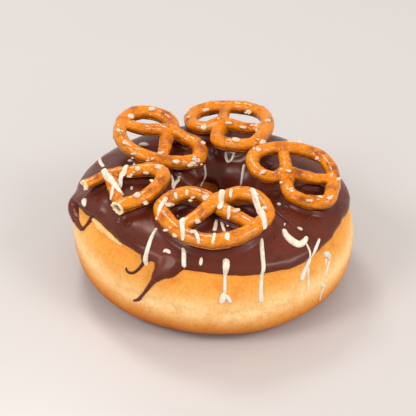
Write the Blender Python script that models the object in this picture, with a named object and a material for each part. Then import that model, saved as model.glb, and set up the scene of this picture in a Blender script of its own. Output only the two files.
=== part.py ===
"""Ring doughnut coated with chocolate icing and topped with five small salted pretzels.

Metres, +Z up. The doughnut stands on its flat foot with its front towards -Y, and the
origin is the middle of the whole object's footprint, at the height of that foot.
Azimuths round the ring run from +X towards +Y. In the ring's cross-section an angle
of 0 is the crest, 90 degrees the outer side, 180 the foot and -90 the wall of the hole.
"""

import math

import bmesh
import bpy
import numpy as np
from mathutils import Matrix, Vector

MM = 0.001
SEAM_GAP = 0.3 * MM  # between pieces that touch

# Dough ring.
RING_RADIUS = 47.3 * MM
RING_OVAL = 1.0 * MM  # the ring is longer and shorter than round by this much
RING_OVAL_AZIMUTH = math.radians(135)
DOUGH_HEIGHT = 33.4 * MM
SIDE_HEIGHT = 15.5 * MM  # where the side bulges furthest
FOOT_CUT = 1.0 * MM  # the round underside is flattened by this much
HOLE_RADIUS = 8.6 * MM
HOLE_SHIFT = 3.5 * MM  # the hole lies off centre, towards +X
TOP_FULLNESS = 2.4  # superellipse exponents: 2 is round, more is squarer
FOOT_FULLNESS = 2.7
RING_STATIONS = 56
SECTION_STATIONS = 22

# Chocolate icing, a coat over the top that stops at an uneven edge.
ICING_BED = 0.7 * MM  # from the dough to the icing's underside, whose flat facets cut in
ICING_THICKNESS = 0.8 * MM
ICING_INNER_EDGE = math.radians(-66)  # how far it runs down into the hole
ICING_STATIONS = 54
ICING_ROWS = 12
# The outer edge as (azimuth, section angle) pairs in degrees.
ICING_EDGE = (
    (0, 62),
    (60, 66),
    (95, 64),
    (118, 68),
    (150, 66),
    (178, 66),
    (190, 54),
    (208, 43),
    (229, 44),
    (243, 49),
    (262, 49),
    (274, 51),
    (296, 55),
    (309, 57),
    (324, 53),
    (339, 50),
    (352, 57),
)
# Runs of icing past that edge as (azimuth, half width, reach) in degrees.
ICING_RUNS = (
    (183, 5, 9),
    (236, 3, 20),
    (244, 5, 36),
)

# Pretzels, each one rope of dough: a rim folded into two lobes, and two bars across it.
ROPE_RADIUS = 2.65 * MM
BAR_RADIUS = 2.4 * MM
ROPE_SIDES = 8
RIM_STATIONS = 40
BAR_STATIONS = 12
# Their middle lines, in millimetres from the pretzel's middle.
CROSSING = (0.0, 5.0)  # where the rope crosses itself
CROSSING_LIFT = 1.0  # the rope laps over itself there, by this many millimetres
HUMP_REACH = 4.2
LOBE = ((3.0, 8.6), (7.9, 11.0), (13.2, 9.3), (16.8, 4.6))
LOWER_RIM = ((16.4, -1.4), (12.8, -6.9), (7.0, -11.4))
RIM_BOTTOM = (0.0, -13.3)
BARS_MEET = (0.0, 3.9)
BAR_END = (12.6, -6.8)
# The broken one keeps a stump that runs on into a bent lobe, and one bar.
BROKEN_ROPE = (
    (-14.0, 3.0),
    (-9.6, 5.8),
    (-5.0, 7.0),
    (3.4, 8.0),
    (11.2, 7.6),
    (13.8, 1.6),
    (8.9, -7.2),
    (2.4, -11.4),
    (-2.0, -10.8),
)
BROKEN_CROSSING = (-5.0, 7.0)
BROKEN_BAR_END = (-0.6, -10.4)


def superellipse(angle, power):
    """Sine and cosine of a section angle, made squarer by the exponent."""
    sine, cosine = np.sin(angle), np.cos(angle)
    wide = np.sign(sine) * np.abs(sine) ** (2 / power)
    high = np.sign(cosine) * np.abs(cosine) ** (2 / power)
    return wide, high


def ring_section(azimuth):
    """(middle radius, half width) of the ring at an azimuth."""
    outer = RING_RADIUS + RING_OVAL * np.cos(2 * (azimuth - RING_OVAL_AZIMUTH))
    shift = HOLE_SHIFT * np.cos(azimuth)
    hole = shift + np.sqrt(HOLE_RADIUS**2 - (HOLE_SHIFT * np.sin(azimuth)) ** 2)
    return (outer + hole) / 2, (outer - hole) / 2


def ring_point(azimuth, angle, grow=0.0):
    """A point on the dough's surface, or on a larger one that lies further out by grow."""
    middle, half_width = ring_section(azimuth)
    upper = math.cos(angle) >= 0
    wide, high = superellipse(angle, TOP_FULLNESS if upper else FOOT_FULLNESS)
    reach = DOUGH_HEIGHT - SIDE_HEIGHT if upper else SIDE_HEIGHT + FOOT_CUT
    radius = middle + (half_width + grow) * wide
    height = max(SIDE_HEIGHT + (reach + grow) * high, 0.0)
    return Vector((radius * math.cos(azimuth), radius * math.sin(azimuth), height))


def icing_height(points):
    """Height of the icing's top under plan points, and zero over the hole or outside."""
    azimuth = np.arctan2(points[:, 1], points[:, 0])
    middle, half_width = ring_section(azimuth)
    grow = ICING_BED + ICING_THICKNESS
    across = np.abs(np.hypot(points[:, 0], points[:, 1]) - middle) / (half_width + grow)
    rise = np.clip(1 - across**TOP_FULLNESS, 0, None) ** (1 / TOP_FULLNESS)
    return np.where(across < 1, SIDE_HEIGHT + (DOUGH_HEIGHT - SIDE_HEIGHT + grow) * rise, 0.0)


def icing_edge(azimuth):
    """Section angle where the icing stops, its runs included, all in degrees."""
    around, angle = np.array(ICING_EDGE, float).T
    edge = np.interp(azimuth, around, angle, period=360)
    for middle, half_width, reach in ICING_RUNS:
        off = abs((azimuth - middle + 180) % 360 - 180) / half_width
        edge = edge + reach * max(1 - off, 0)
    return edge


def icing_azimuths():
    """Even stations round the ring in degrees, with five of their own for each run."""
    own = [
        middle + half_width * side
        for middle, half_width, _ in ICING_RUNS
        for side in (-1, -0.5, 0, 0.5, 1)
    ]
    even = np.arange(ICING_STATIONS) * 360 / ICING_STATIONS
    clear = [a for a in even if min(abs(a - b) for b in own) > 1.5]
    return sorted(clear + own)


def smooth_path(knots, count, closed):
    """count points along a smooth (Catmull-Rom) curve through the knots."""
    knots = np.asarray(knots, float)
    spans = len(knots) if closed else len(knots) - 1
    place = np.arange(count) * spans / (count if closed else count - 1)
    span = np.minimum(place.astype(int), spans - 1)
    t = (place - span)[:, None]
    if closed:
        a, b, c, d = (knots[(span + step) % len(knots)] for step in (-1, 0, 1, 2))
    else:
        padded = np.vstack([2 * knots[0] - knots[1], knots, 2 * knots[-1] - knots[-2]])
        a, b, c, d = (padded[span + step] for step in (0, 1, 2, 3))
    bend = (2 * a - 5 * b + 4 * c - d) * t**2 + (3 * b - a - 3 * c + d) * t**3
    return 0.5 * (2 * b + (c - a) * t + bend)


def solid_from_sections(name, sections, closed):
    """A solid through a row of equal-length outlines, capped unless the row closes up."""
    shape = bmesh.new()
    rings = [[shape.verts.new(point) for point in section] for section in sections]
    following = rings[1:] + rings[:1] if closed else rings[1:]
    for near, far in zip(rings, following):
        for i in range(len(near)):
            j = (i + 1) % len(near)
            shape.faces.new((near[i], near[j], far[j], far[i]))
    if not closed:
        shape.faces.new(rings[0])
        shape.faces.new(rings[-1])
    bmesh.ops.recalc_face_normals(shape, faces=shape.faces)
    mesh = bpy.data.meshes.new(name)
    shape.to_mesh(mesh)
    shape.free()
    mesh.shade_smooth()
    solid = bpy.data.objects.new(name, mesh)
    bpy.context.scene.collection.objects.link(solid)
    return solid


def finish(name, colour, roughness):
    """A Principled material."""
    material = bpy.data.materials.new(name)
    material.use_nodes = True
    shader = material.node_tree.nodes["Principled BSDF"]
    shader.inputs["Base Color"].default_value = (*colour, 1.0)
    shader.inputs["Roughness"].default_value = roughness
    shader.inputs["Metallic"].default_value = 0.0
    material.diffuse_color = (*colour, 1.0)
    return material


def make_dough():
    """The fried ring, flat underneath."""
    azimuths = np.arange(RING_STATIONS) * 2 * math.pi / RING_STATIONS
    angles = np.arange(SECTION_STATIONS) * 2 * math.pi / SECTION_STATIONS
    sections = [[ring_point(azimuth, angle) for angle in angles] for azimuth in azimuths]
    return solid_from_sections("dough_ring", sections, closed=True)


def make_icing():
    """The chocolate coat: out along its top, and back along its underside."""
    sections = []
    for azimuth in icing_azimuths():
        outer_edge = math.radians(icing_edge(azimuth))
        angles = np.linspace(ICING_INNER_EDGE, outer_edge, ICING_ROWS)
        at = math.radians(azimuth)
        top = [ring_point(at, angle, ICING_BED + ICING_THICKNESS) for angle in angles]
        underside = [ring_point(at, angle, ICING_BED) for angle in reversed(angles)]
        sections.append(top + underside)
    return solid_from_sections("chocolate_icing", sections, closed=True)


class Pretzel:
    """One pretzel, drawn flat with the dip between its lobes towards +Y, then laid down."""

    crossing = CROSSING

    def __init__(self, name, seat, heading, lean, size, lobes=(1.0, 1.0)):
        """seat is its middle in plan in millimetres, lean is (degrees, towards azimuth)."""
        self.name = name
        self.seat = Vector((seat[0] * MM, seat[1] * MM, 0.0))
        self.size = size
        self.lobes = lobes
        tilt, towards = (math.radians(part) for part in lean)
        hinge = Vector((-math.sin(towards), math.cos(towards), 0.0))
        turn = Matrix.Rotation(math.radians(heading), 3, "Z")
        self.turn = Matrix.Rotation(tilt, 3, hinge) @ turn

    def side(self, sign, lobe_size):
        """Knots of one half of the rim, from the crossing to the bottom of the rim."""
        base = CROSSING[1]
        lobe = [(x * lobe_size, base + (y - base) * lobe_size) for x, y in LOBE]
        return [(sign * x, y) for x, y in [*lobe, *LOWER_RIM]]

    def rim_path(self):
        """The rim's closed middle line."""
        left, right = self.side(-1, self.lobes[0]), self.side(1, self.lobes[1])
        return smooth_path([CROSSING, *right, RIM_BOTTOM, *reversed(left)], RIM_STATIONS, True)

    def bars_path(self):
        """The middle line of both bars, from the rim to the crossing and back to the rim."""
        left_end = (-BAR_END[0], BAR_END[1])
        first = np.linspace(left_end, BARS_MEET, BAR_STATIONS // 2, endpoint=False)
        second = np.linspace(BARS_MEET, BAR_END, BAR_STATIONS // 2 + 1)
        return np.vstack([first, second])

    def raised(self, path):
        """Middle line in the pretzel's own metres, humped where the rope crosses itself."""
        away = np.hypot(path[:, 0] - self.crossing[0], path[:, 1] - self.crossing[1])
        hump = CROSSING_LIFT * np.exp(-((away / HUMP_REACH) ** 2))
        return np.column_stack([path, hump]) * MM * self.size

    def placed(self, path):
        """The same middle line as it lies on the icing, at its resting height."""
        world = path @ np.array(self.turn).T + np.array(self.seat)
        return world + np.array((0.0, 0.0, self.rest_height))

    def settle(self, paths):
        """Lower the pretzel until some stretch of its rope meets the icing."""
        self.rest_height = 0.0
        world = np.vstack([self.placed(self.raised(path)) for path in paths])
        beside = np.arange(ROPE_SIDES) * 2 * math.pi / ROPE_SIDES
        reach = ROPE_RADIUS * self.size
        needed = []
        for share in (0.0, 0.5, 0.8, 1.0):
            drop = reach * math.sqrt(1 - share**2)
            for bearing in beside:
                step = share * reach * np.array((math.cos(bearing), math.sin(bearing)))
                needed.append(icing_height(world[:, :2] + step) - (world[:, 2] - drop))
        self.rest_height = float(np.max(needed)) + SEAM_GAP

    def tube(self, name, path, rope_radius, closed):
        """The rope itself along a middle line."""
        middle = self.placed(self.raised(path))
        if closed:
            along = np.roll(middle, -1, axis=0) - np.roll(middle, 1, axis=0)
        else:
            along = np.gradient(middle, axis=0)
        upright = np.array(self.turn @ Vector((0.0, 0.0, 1.0)))
        across = np.cross(along, upright)
        across /= np.linalg.norm(across, axis=1)[:, None]
        over = np.cross(across, along)
        over /= np.linalg.norm(over, axis=1)[:, None]
        round_it = (np.arange(ROPE_SIDES) + 0.5) * 2 * math.pi / ROPE_SIDES
        radius = rope_radius * self.size / math.cos(math.pi / ROPE_SIDES) ** 0.5
        sections = [
            [Vector(m + radius * (math.cos(r) * a + math.sin(r) * o)) for r in round_it]
            for m, a, o in zip(middle, across, over)
        ]
        return solid_from_sections(name, sections, closed)

    def joined(self, rope, bars):
        """One solid out of two tubes that run into each other."""
        union = rope.modifiers.new("bars", "BOOLEAN")
        union.operation = "UNION"
        union.solver = "EXACT"
        union.object = bars
        bars.hide_render = True
        bars.display_type = "WIRE"
        return rope

    def build(self):
        """A whole pretzel."""
        rim, bars = self.rim_path(), self.bars_path()
        self.settle([rim, bars])
        rope = self.tube(self.name, rim, ROPE_RADIUS, closed=True)
        return self.joined(rope, self.tube(f"{self.name}_bars", bars, BAR_RADIUS, closed=False))


class BrokenPretzel(Pretzel):
    """What is left of a pretzel that snapped at its crossing and below one bar."""

    crossing = BROKEN_CROSSING

    def build(self):
        """The snapped rope, and the bar that closes its lobe."""
        rim = smooth_path(BROKEN_ROPE, RIM_STATIONS // 2, closed=False)
        bar = np.linspace(self.crossing, BROKEN_BAR_END, BAR_STATIONS // 2)
        self.settle([rim, bar])
        rope = self.tube(self.name, rim, ROPE_RADIUS, closed=False)
        return self.joined(rope, self.tube(f"{self.name}_bar", bar, BAR_RADIUS, closed=False))


PRETZELS = (
    Pretzel("pretzel_front", (0.9, -26.3), 0, (6, -110), 0.97, lobes=(1.07, 0.93)),
    Pretzel("pretzel_right", (27.5, -2.6), 136, (8, -68), 0.88, lobes=(1.13, 1.02)),
    Pretzel("pretzel_back_right", (6.6, 29.8), 126, (6, 140), 0.94, lobes=(1.13, 1.0)),
    Pretzel("pretzel_back_left", (-19.2, 18.8), -54, (9, -8), 0.96, lobes=(1.0, 1.04)),
    BrokenPretzel("pretzel_broken", (-29.4, -8.8), 0, (8, 190), 0.95),
)


def centre_on_footprint(solids):
    """Move everything so that the origin is the bottom centre of the whole object."""
    bpy.context.view_layer.update()
    corners = np.array([solid.matrix_world @ Vector(c) for solid in solids for c in solid.bound_box])
    low, high = corners.min(axis=0), corners.max(axis=0)
    shift = Vector((-(low[0] + high[0]) / 2, -(low[1] + high[1]) / 2, -low[2]))
    for thing in bpy.data.objects:
        thing.location += shift


def main():
    """Build the doughnut, its icing and the pretzels on it."""
    for thing in list(bpy.data.objects):
        bpy.data.objects.remove(thing)

    fried_dough = finish("fried_dough", (0.72, 0.38, 0.09), 0.6)
    chocolate = finish("milk_chocolate", (0.11, 0.035, 0.022), 0.3)
    baked_rope = finish("baked_pretzel", (0.55, 0.17, 0.015), 0.35)

    dough, icing = make_dough(), make_icing()
    dough.data.materials.append(fried_dough)
    icing.data.materials.append(chocolate)
    pretzels = [pretzel.build() for pretzel in PRETZELS]
    for pretzel in pretzels:
        pretzel.data.materials.append(baked_rope)
    centre_on_footprint([dough, icing, *pretzels])


main()
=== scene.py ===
"""Looks of a ring doughnut glazed with milk chocolate, with five small salted pretzels
on top and white icing trailed over them.

Everything is worked out in millimetres about the middle of the dough ring, and goes
into the meshes in metres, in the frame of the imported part. Azimuths run from +X
towards +Y. A section angle is 0 at the ring's crest, 90 degrees at its outer side,
180 at the foot and -90 at the wall of the hole.
"""

import logging
import math
from dataclasses import dataclass, field
from enum import Enum
from itertools import product
from typing import Any

import bpy
import numpy as np
from mathutils import Matrix, Vector
from numpy.typing import NDArray


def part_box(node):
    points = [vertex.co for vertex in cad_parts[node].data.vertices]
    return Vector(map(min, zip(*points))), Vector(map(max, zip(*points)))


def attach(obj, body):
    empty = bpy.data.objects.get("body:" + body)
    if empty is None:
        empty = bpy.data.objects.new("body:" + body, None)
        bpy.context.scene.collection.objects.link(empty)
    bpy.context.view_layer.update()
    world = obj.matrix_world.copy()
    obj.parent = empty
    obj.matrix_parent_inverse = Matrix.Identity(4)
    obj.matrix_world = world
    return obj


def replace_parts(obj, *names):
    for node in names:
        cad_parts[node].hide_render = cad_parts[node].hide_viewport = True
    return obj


Array = NDArray[np.float64]
Knots = tuple[tuple[float, ...], ...]
Stops = tuple[tuple[float, str], ...]
Tree = bpy.types.NodeTree
Socket = bpy.types.NodeSocket

log = logging.getLogger("doughnut")

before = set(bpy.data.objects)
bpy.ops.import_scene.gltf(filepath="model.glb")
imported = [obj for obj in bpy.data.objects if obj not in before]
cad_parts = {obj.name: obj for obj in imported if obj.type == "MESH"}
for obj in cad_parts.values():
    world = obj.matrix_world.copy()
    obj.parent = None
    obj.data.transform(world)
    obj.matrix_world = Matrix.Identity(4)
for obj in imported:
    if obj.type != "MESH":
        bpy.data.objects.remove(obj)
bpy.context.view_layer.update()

MM = 0.001
RING_LOW, RING_HIGH = (np.array(corner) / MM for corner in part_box("dough_ring"))
RING_CENTRE = np.array([*(RING_LOW + RING_HIGH)[:2] / 2, 0.0])
COLOUR_A, COLOUR_B, MIXED = 6, 7, 2  # a colour mix node's two inputs and its output


# ---------------------------------------------------------------- numbers and noise


def lattice_values(cells: NDArray[np.int64], seed: int) -> Array:
    """A fixed random number from -1 to 1 for each lattice cell.

    Args:
        cells: Whole-number cell coordinates, three to a cell.
        seed: Picks the set of numbers.

    Returns:
        One number a cell: the coordinates are multiplied by large odd numbers, added,
        and their bits mixed.
    """
    odd = np.array([374761393, 668265263, 1103515245], np.int64)
    mixed = (cells * odd).sum(axis=-1) + seed * 144269504
    mixed = (mixed & 0xFFFFFFFF) * 1274126177 & 0xFFFFFFFF
    mixed = (mixed ^ (mixed >> 15)) * 668265263 & 0xFFFFFFFF
    mixed = mixed ^ (mixed >> 13)
    return mixed / 2147483648.0 - 1.0


def noise(points: Array, grain: float, seed: int) -> Array:
    """Smooth random height over space.

    Args:
        points: Places in millimetres, three numbers each.
        grain: Size of a lump in millimetres.
        seed: Picks the pattern.

    Returns:
        Heights from -1 to 1: values at the corners of a lattice, blended across each
        cell by the smooth step 6t^5 - 15t^4 + 10t^3.
    """
    place = points / grain
    cell = np.floor(place).astype(np.int64)
    t = place - cell
    t = t**3 * (t * (6 * t - 15) + 10)
    total = np.zeros(points.shape[:-1])
    for corner in product((0, 1), repeat=3):
        step = np.array(corner)
        share = np.where(step == 1, t, 1 - t).prod(axis=-1)
        total += share * lattice_values(cell + step, seed)
    return total


def layered_noise(points: Array, grain: float, layers: int, seed: int) -> Array:
    """Sum of noises, each half as large and half as high as the one before."""
    levels = [0.5**i * noise(points, grain * 0.5**i, seed + i) for i in range(layers)]
    return np.sum(levels, axis=0)


def smooth_step(value: Array, start: float, end: float) -> Array:
    """Rises from 0 at start to 1 at end along 3t^2 - 2t^3."""
    t = np.clip((value - start) / (end - start), 0.0, 1.0)
    return t * t * (3 - 2 * t)


def smooth_most(first: Array, second: Array, blend: float) -> Array:
    """The larger of two fields, with the crease between them filled over a width."""
    mix = np.clip(0.5 + 0.5 * (first - second) / blend, 0.0, 1.0)
    return second + (first - second) * mix + blend * mix * (1 - mix)


def smooth_path(knots: Array, spacing: float) -> Array:
    """Even-paced points along a Catmull-Rom curve through the knots.

    Args:
        knots: The points that the curve passes through, in any number of dimensions.
        spacing: About how far apart the points are, in the knots' units.

    Returns:
        The points, with both ends included.
    """
    padded = np.vstack([2 * knots[0] - knots[1], knots, 2 * knots[-1] - knots[-2]])
    spans = len(knots) - 1

    def at(place: Array) -> Array:
        """The curve at a place counted in spans."""
        span = np.minimum(place.astype(int), spans - 1)
        t = (place - span)[:, None]
        a, b, c, d = (padded[span + step] for step in range(4))
        bend = (2 * a - 5 * b + 4 * c - d) * t**2 + (3 * b - a - 3 * c + d) * t**3
        return 0.5 * (2 * b + (c - a) * t + bend)

    fine = np.linspace(0, spans, spans * 24 + 1)
    curve = at(fine)
    walked = np.concatenate([[0.0], np.linalg.norm(np.diff(curve, axis=0), axis=1).cumsum()])
    count = max(int(walked[-1] / spacing), 6) + 1
    return at(np.interp(np.linspace(0, walked[-1], count), walked, fine))


def round_curve(knots: Knots, azimuth: Array, softness: float = 1.6) -> Array:
    """A value that changes smoothly round the ring.

    Args:
        knots: (azimuth in degrees, value) pairs.
        azimuth: Where to read it, in radians.
        softness: Width in degrees of the bell that rounds the corners at the knots.

    Returns:
        Straight lines between the knots, averaged under the bell.
    """
    at, value = np.array(knots, float).T
    degrees = np.arange(0, 360, 0.25)
    bell = np.exp(-0.5 * (np.arange(-40, 41) * 0.25 / softness) ** 2)
    line = np.interp(degrees, at, value, period=360)
    padded = np.concatenate([line[-40:], line, line[:40]])
    softened = np.convolve(padded, bell / bell.sum(), mode="valid")
    return np.interp(np.degrees(azimuth), degrees, softened, period=360)


# ---------------------------------------------------------------- meshes


def unit(vectors: Array) -> Array:
    """The same directions with length one."""
    return vectors / np.maximum(np.linalg.norm(vectors, axis=-1, keepdims=True), 1e-9)


def swung(first: Array, second: Array, angle: Array) -> tuple[Array, Array]:
    """Two coordinates turned about the origin by an angle."""
    cosine, sine = np.cos(angle), np.sin(angle)
    return first * cosine - second * sine, first * sine + second * cosine


def tube_faces(rows: int, around: int, first: int = 0) -> list[Array]:
    """Faces of a row of outlines joined into a tube with both ends closed.

    Args:
        rows: How many outlines.
        around: Points in each outline.
        first: Number of the first point. The two end points follow the outlines.

    Returns:
        The side's quads, and the two fans of triangles at the ends.
    """
    row, step = np.meshgrid(np.arange(rows - 1), np.arange(around), indexing="ij")
    after = (step + 1) % around
    near, far = first + row * around, first + (row + 1) * around
    sides = np.stack([near + step, near + after, far + after, far + step], axis=-1)
    here, then = np.arange(around), (np.arange(around) + 1) % around
    start, end = first + rows * around, first + rows * around + 1
    last = first + (rows - 1) * around
    fan_one = np.stack([np.full(around, start), then + first, here + first], axis=-1)
    fan_two = np.stack([np.full(around, end), here + last, then + last], axis=-1)
    return [sides.reshape(-1, 4), fan_one, fan_two]


def ring_faces(rows: int, columns: int) -> list[Array]:
    """Quads of a grid that closes on itself both ways."""
    row, column = np.meshgrid(np.arange(rows), np.arange(columns), indexing="ij")
    below, beside = (row + 1) % rows, (column + 1) % columns
    corners = [
        row * columns + column,
        row * columns + beside,
        below * columns + beside,
        below * columns + column,
    ]
    return [np.stack(corners, axis=-1).reshape(-1, 4)]


def volume(points: Array, faces: list[Array]) -> float:
    """Signed volume of a closed mesh: positive when its faces point outwards."""
    total = 0.0
    for block in faces:
        for second in range(1, block.shape[1] - 1):
            a, b, c = (points[block[:, i]] for i in (0, second, second + 1))
            total += float(np.einsum("ij,ij->i", a, np.cross(b, c)).sum()) / 6
    return total


def mesh_from(name: str, points: Array, faces: list[Array]) -> bpy.types.Mesh:
    """A smooth-shaded mesh, its faces turned outwards.

    Args:
        name: Name of the mesh.
        points: Places in millimetres about the ring's middle.
        faces: Blocks of faces with the same number of corners.

    Returns:
        The mesh in metres, in the frame of the part.
    """
    if volume(points, faces) < 0:
        faces = [block[:, ::-1] for block in faces]
    mesh = bpy.data.meshes.new(name)
    corners = np.concatenate([block.ravel() for block in faces]).astype(np.int32)
    sizes = np.concatenate([np.full(len(block), block.shape[1]) for block in faces])
    starts = np.concatenate([[0], sizes.cumsum()[:-1]]).astype(np.int32)
    mesh.vertices.add(len(points))
    mesh.vertices.foreach_set("co", ((points + RING_CENTRE) * MM).astype(np.float32).ravel())
    mesh.loops.add(len(corners))
    mesh.loops.foreach_set("vertex_index", corners)
    mesh.polygons.add(len(starts))
    mesh.polygons.foreach_set("loop_start", starts)
    mesh.update(calc_edges=True)
    mesh.validate()
    mesh.shade_smooth()
    return mesh


def add_piece(name: str, mesh: bpy.types.Mesh, finish: "Finish") -> bpy.types.Object:
    """Put a mesh in the scene as a piece of the part, which moves with its one body."""
    piece = bpy.data.objects.new(name, mesh)
    bpy.context.scene.collection.objects.link(piece)
    mesh.materials.append(finish.material())
    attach(piece, "root")
    log.info("%s: %d faces", name, len(mesh.polygons))
    return piece


def add_attribute(mesh: bpy.types.Mesh, name: str, values: Array) -> None:
    """Store one number a point on the mesh, for its material to read."""
    layer = mesh.attributes.new(name, "FLOAT", "POINT")
    layer.data.foreach_set("value", values.astype(np.float32))


# ---------------------------------------------------------------- finishes


def linear(colour: str) -> tuple[float, float, float, float]:
    """An sRGB colour written as six hex digits, as the linear RGBA that a node takes."""
    parts = [int(colour[i : i + 2], 16) / 255 for i in (0, 2, 4)]
    low_high = [p / 12.92 if p <= 0.04045 else ((p + 0.055) / 1.055) ** 2.4 for p in parts]
    return (*low_high, 1.0)


def add_node(
    tree: bpy.types.NodeTree, kind: str, inputs: dict[Any, Any] | None = None, **settings: Any
) -> bpy.types.Node:
    """Add one node with its settings and links.

    Args:
        tree: The material's node tree.
        kind: The node's type, such as "ShaderNodeMix".
        inputs: A number, a colour or another node's output for each input.
        **settings: The node's own properties.

    Returns:
        The new node.
    """
    node = tree.nodes.new(kind)
    for name, value in settings.items():
        setattr(node, name, value)
    for key, value in (inputs or {}).items():
        if isinstance(value, bpy.types.NodeSocket):
            tree.links.new(value, node.inputs[key])
        else:
            node.inputs[key].default_value = value
    return node


def ramp(tree: Tree, place: Socket, stops: Stops, blend: str = "LINEAR") -> Socket:
    """Colours at places from 0 to 1, each an sRGB colour, blended between them."""
    node = add_node(tree, "ShaderNodeValToRGB", {"Fac": place})
    node.color_ramp.interpolation = blend
    elements = node.color_ramp.elements
    while len(elements) < len(stops):
        elements.new(0.5)
    for element, (at, colour) in zip(elements, stops):
        element.position = at
        element.color = linear(colour)
    return node.outputs[0]


def texture(tree: Tree, place: Socket, grain: float, detail: float, **more: float) -> Socket:
    """A noise from 0 to 1, with lumps of about the grain in millimetres."""
    inputs = {"Vector": place, "Scale": 1 / (grain * MM), "Detail": detail, **more}
    return add_node(tree, "ShaderNodeTexNoise", inputs).outputs["Fac"]


def arithmetic(tree: Tree, operation: str, *values: Socket | float) -> Socket:
    """One sum of the values."""
    return add_node(
        tree, "ShaderNodeMath", dict(enumerate(values)), operation=operation
    ).outputs[0]


def stretched(tree: Tree, value: Socket, *ends: float) -> Socket:
    """A value moved from one range to another: from low, from high, to low, to high."""
    return add_node(tree, "ShaderNodeMapRange", dict(enumerate((value, *ends)))).outputs[0]


def mixed(tree: Tree, share: Any, first: Any, second: Any, blend: str = "MIX") -> Socket:
    """Two colours mixed by a share, or the first multiplied by the second."""
    inputs = {0: share, COLOUR_A: first, COLOUR_B: second}
    node = add_node(tree, "ShaderNodeMix", inputs, data_type="RGBA", blend_type=blend)
    return node.outputs[MIXED]


def add_bump(
    tree: Tree, shader: bpy.types.Node, height: Socket, strength: float, depth: float
) -> None:
    """Roughen the shader's surface by a height, its depth in millimetres."""
    inputs = {"Height": height, "Strength": strength, "Distance": depth * MM}
    bump = add_node(tree, "ShaderNodeBump", inputs)
    tree.links.new(bump.outputs[0], shader.inputs["Normal"])


@dataclass(frozen=True)
class Finish:
    """A surface of food: its shader's fixed values. Each kind adds its own pattern."""

    name: str
    roughness: float
    ior: float = 1.45
    specular: float = 0.5
    subsurface: float = 0.0
    subsurface_reach: tuple[float, float, float] = (1.0, 0.5, 0.3)
    transmission: float = 0.0

    def pattern(self, tree: Tree, shader: bpy.types.Node) -> None:
        """Link colour, roughness and bump to the shader."""
        raise NotImplementedError

    def material(self) -> bpy.types.Material:
        """The finish as a material, made once and shared."""
        known = bpy.data.materials.get(self.name)
        if known:
            return known
        material = bpy.data.materials.new(self.name)
        material.use_nodes = True
        tree = material.node_tree
        shader = tree.nodes["Principled BSDF"]
        fixed = {
            "Roughness": self.roughness,
            "IOR": self.ior,
            "Specular IOR Level": self.specular,
            "Subsurface Weight": self.subsurface,
            "Subsurface Radius": self.subsurface_reach,
            "Subsurface Scale": MM,
            "Transmission Weight": self.transmission,
        }
        for socket, value in fixed.items():
            shader.inputs[socket].default_value = value
        self.pattern(tree, shader)
        return material


@dataclass(frozen=True)
class FriedDough(Finish):
    """Yeast dough fried on one side and then the other, so that each side is golden and
    the band round the middle, which stood clear of the fat, is pale."""

    # Height in millimetres, and the crust's colour there.
    bands: Stops = (
        (0.0, "a04a0a"),
        (2.5, "bf6616"),
        (6.5, "da8a30"),
        (10.0, "eeb266"),
        (13.0, "fcdca6"),
        (16.0, "fbd89e"),
        (19.5, "efb25e"),
        (24.0, "e69e42"),
        (33.0, "e2963a"),
    )
    band_tilt: float = 0.105  # the pale band lies lower at the front than at the back
    band_drop: float = 5.6  # mm
    band_waver: float = 3.4  # mm, how far the bands wander up and down
    waver_length: float = 16.0  # mm
    shaded_wall_reach: tuple[float, float] = (13.0, 18.0)  # mm from the middle: the hole's wall, where painted shade lies
    hole_wall_shade: str = "a8743c"  # painted shade, darker towards the hole's wall
    mottle: float = 5.5  # mm
    mottle_tints: Stops = ((0.3, "edcb9c"), (0.5, "ffffff"), (0.8, "fff4e0"))
    fibre: float = 0.75  # mm, width of the fine soft strands in the crust
    fibre_tints: Stops = ((0.34, "eccb96"), (0.5, "fdf4e4"), (0.64, "ffffff"))

    def pattern(self, tree: Tree, shader: bpy.types.Node) -> None:
        """Bands by height, shifted by a slow noise, with fine mottling and fibres, and painted
        shade on the hole's wall.
        """
        place = add_node(tree, "ShaderNodeTexCoord").outputs["Object"]
        slow = texture(tree, place, self.waver_length, 3.0)
        lean = {0: place, 1: (0.0, -self.band_tilt, 1.0)}
        level = add_node(tree, "ShaderNodeVectorMath", lean, operation="DOT_PRODUCT")
        lowest = -(self.band_waver + self.band_drop) * MM
        shift = arithmetic(tree, "MULTIPLY_ADD", slow, self.band_waver * 2 * MM, lowest)
        moved = arithmetic(tree, "ADD", level.outputs["Value"], shift)
        top = self.bands[-1][0]
        stops = tuple((at / top, colour) for at, colour in self.bands)
        share = arithmetic(tree, "MULTIPLY", moved, 1 / (top * MM))
        bands = ramp(tree, share, stops, "B_SPLINE")
        blotch = texture(tree, place, self.mottle, 6.0, Roughness=0.62)
        stained = mixed(tree, 0.6, bands, ramp(tree, blotch, self.mottle_tints), "MULTIPLY")
        flat = add_node(tree, "ShaderNodeMapping", {"Vector": place, "Scale": (1.0, 1.0, 0.6)})
        fibres = texture(
            tree, flat.outputs[0], self.fibre, 6.0, Roughness=0.68, Distortion=0.9
        )
        crust = mixed(tree, 0.7, stained, ramp(tree, fibres, self.fibre_tints), "MULTIPLY")
        # painted shade: the crust is darkened on the hole's wall, where shade falls
        plan = add_node(tree, "ShaderNodeMapping", {"Vector": place, "Scale": (1.0, 1.0, 0.0)})
        away = add_node(tree, "ShaderNodeVectorMath", {0: plan.outputs[0]}, operation="LENGTH")
        inner, outer = (edge * MM for edge in self.shaded_wall_reach)
        wall = stretched(tree, away.outputs["Value"], inner, outer, 1.0, 0.0)
        shaded = mixed(tree, wall, crust, linear(self.hole_wall_shade), "MULTIPLY")
        tree.links.new(shaded, shader.inputs["Base Color"])
        add_bump(tree, shader, fibres, 0.6, 0.35)


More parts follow.
